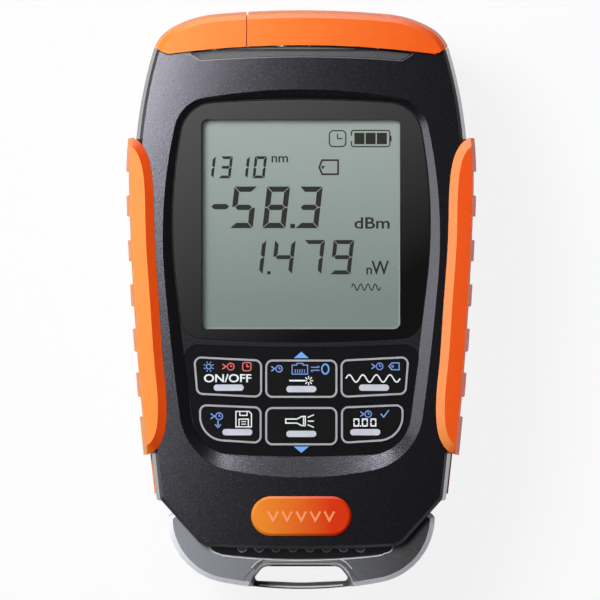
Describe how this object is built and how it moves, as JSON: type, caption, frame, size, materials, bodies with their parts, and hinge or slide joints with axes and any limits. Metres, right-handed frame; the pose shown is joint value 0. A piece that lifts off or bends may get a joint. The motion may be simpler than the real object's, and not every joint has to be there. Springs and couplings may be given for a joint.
{
  "type": "optical power meter",
  "caption": "Handheld fibre optic power meter with display, membrane-style keys, side grips, hinged port covers and a pull-out cable tester.",
  "frame": {"origin": "centre of the footprint at the flat back, the meter lying on its back", "axes": "+X to the right of the display, +Y towards the ports, +Z out of the display side"},
  "size_m": [0.0726, 0.12, 0.0294],
  "materials": {
    "housing_plastic": "fine matte texture",
    "grip_rubber": "satin moulded rubber",
    "cover_plastic": "satin orange",
    "button_plastic": "satin orange",
    "lens_plastic": "clear window in a dark printed border",
    "lcd_glass": "grey-green display",
    "backlight": "diffusing",
    "frame_plastic": "moulded",
    "keypad_plastic": "dark gloss",
    "key_plastic": "dark satin with a bright rim",
    "key_bar": "satin",
    "silicone": "soft moulded",
    "board": "coated laminate",
    "steel": "plain",
    "battery": "foil pouch",
    "foam": "foam",
    "port_plastic": "moulded",
    "nickel": "nickel plated",
    "brass": "turned",
    "torch_lamp": "clear lens",
    "jack_plastic": "moulded",
    "contacts": "gold plated",
    "dock_plastic": "moulded",
    "tester_plastic": "dark grey metallic paint",
    "tester_window": "smoked",
    "lamp": "clear light pipe"
  },
  "bodies": {
    "housing": {"front_cover": "housing_plastic", "rear_cover": "housing_plastic", "left_grip": "grip_rubber", "right_grip": "grip_rubber", "display_lens": "lens_plastic", "lcd_glass": "lcd_glass", "lcd_backlight": "backlight", "lcd_frame": "frame_plastic", "keypad_panel": "keypad_plastic", "main_board": "board", "case_screws": "steel", "board_screws": "steel", "battery_pad": "foam", "battery": "battery", "port_panel": "port_plastic", "opm_adapter": "nickel", "opm_detector": "brass", "vfl_port": "nickel", "vfl_laser": "brass", "torch_lamp": "torch_lamp", "rj45_jack": "jack_plastic", "rj45_contacts": "contacts", "usb_port": "nickel", "hinge_pin": "steel", "button_springs": "steel", "remote_dock": "dock_plastic", "dome_power": "silicone", "dome_locator": "silicone", "dome_wavelength": "silicone", "dome_save": "silicone", "dome_torch": "silicone", "dome_reference": "silicone"},
    "vfl_cover": {"vfl_cover": "cover_plastic"},
    "opm_cover": {"opm_cover": "cover_plastic"},
    "release_button": {"release_button": "button_plastic"},
    "latch_lever": {"latch_lever": "dock_plastic"},
    "remote": {"remote_front_shell": "tester_plastic", "remote_rear_shell": "tester_plastic", "remote_window": "tester_window", "remote_lamps": "lamp", "remote_board": "board", "remote_jack": "jack_plastic", "remote_contacts": "contacts", "remote_screws": "steel"},
    "key_power": {"key_power": "key_plastic", "bar_power": "key_bar"},
    "key_locator": {"key_locator": "key_plastic", "bar_locator": "key_bar"},
    "key_wavelength": {"key_wavelength": "key_plastic", "bar_wavelength": "key_bar"},
    "key_save": {"key_save": "key_plastic", "bar_save": "key_bar"},
    "key_torch": {"key_torch": "key_plastic", "bar_torch": "key_bar"},
    "key_reference": {"key_reference": "key_plastic", "bar_reference": "key_bar"}
  },
  "joints": [
    {"name": "vfl_cover_hinge", "type": "hinge", "parent": "housing", "child": "vfl_cover", "pos_m": [-0.0206, 0.0515, 0.0023], "axis": [-1, 0, 0], "range_deg": [0, 100]},
    {"name": "opm_cover_hinge", "type": "hinge", "parent": "housing", "child": "opm_cover", "pos_m": [0.009, 0.0515, 0.0023], "axis": [-1, 0, 0], "range_deg": [0, 100]},
    {"name": "release_button_press", "type": "slide", "parent": "housing", "child": "release_button", "axis": [0, 0, -1], "range_m": [0, 0.001], "stiffness_N_per_m": 2000, "deforming": ["button_springs"]},
    {"name": "latch_release", "type": "hinge", "parent": "housing", "child": "latch_lever", "pos_m": [0, -0.0405, 0.02295], "axis": [1, 0, 0], "range_deg": [0, 14]},
    {"name": "remote_slide", "type": "slide", "parent": "housing", "child": "remote", "axis": [0, -1, 0], "range_m": [0, 0.04]},
    {"name": "key_power_press", "type": "slide", "parent": "housing", "child": "key_power", "axis": [0, 0, -1], "range_m": [0, 0.0005], "stiffness_N_per_m": 2500, "deforming": ["dome_power"]},
    {"name": "key_locator_press", "type": "slide", "parent": "housing", "child": "key_locator", "axis": [0, 0, -1], "range_m": [0, 0.0005], "stiffness_N_per_m": 2500, "deforming": ["dome_locator"]},
    {"name": "key_wavelength_press", "type": "slide", "parent": "housing", "child": "key_wavelength", "axis": [0, 0, -1], "range_m": [0, 0.0005], "stiffness_N_per_m": 2500, "deforming": ["dome_wavelength"]},
    {"name": "key_save_press", "type": "slide", "parent": "housing", "child": "key_save", "axis": [0, 0, -1], "range_m": [0, 0.0005], "stiffness_N_per_m": 2500, "deforming": ["dome_save"]},
    {"name": "key_torch_press", "type": "slide", "parent": "housing", "child": "key_torch", "axis": [0, 0, -1], "range_m": [0, 0.0005], "stiffness_N_per_m": 2500, "deforming": ["dome_torch"]},
    {"name": "key_reference_press", "type": "slide", "parent": "housing", "child": "key_reference", "axis": [0, 0, -1], "range_m": [0, 0.0005], "stiffness_N_per_m": 2500, "deforming": ["dome_reference"]}
  ],
  "couplings": [
    {"joint": "latch_release", "follows": "release_button_press", "rad_per_m": 238}
  ]
}
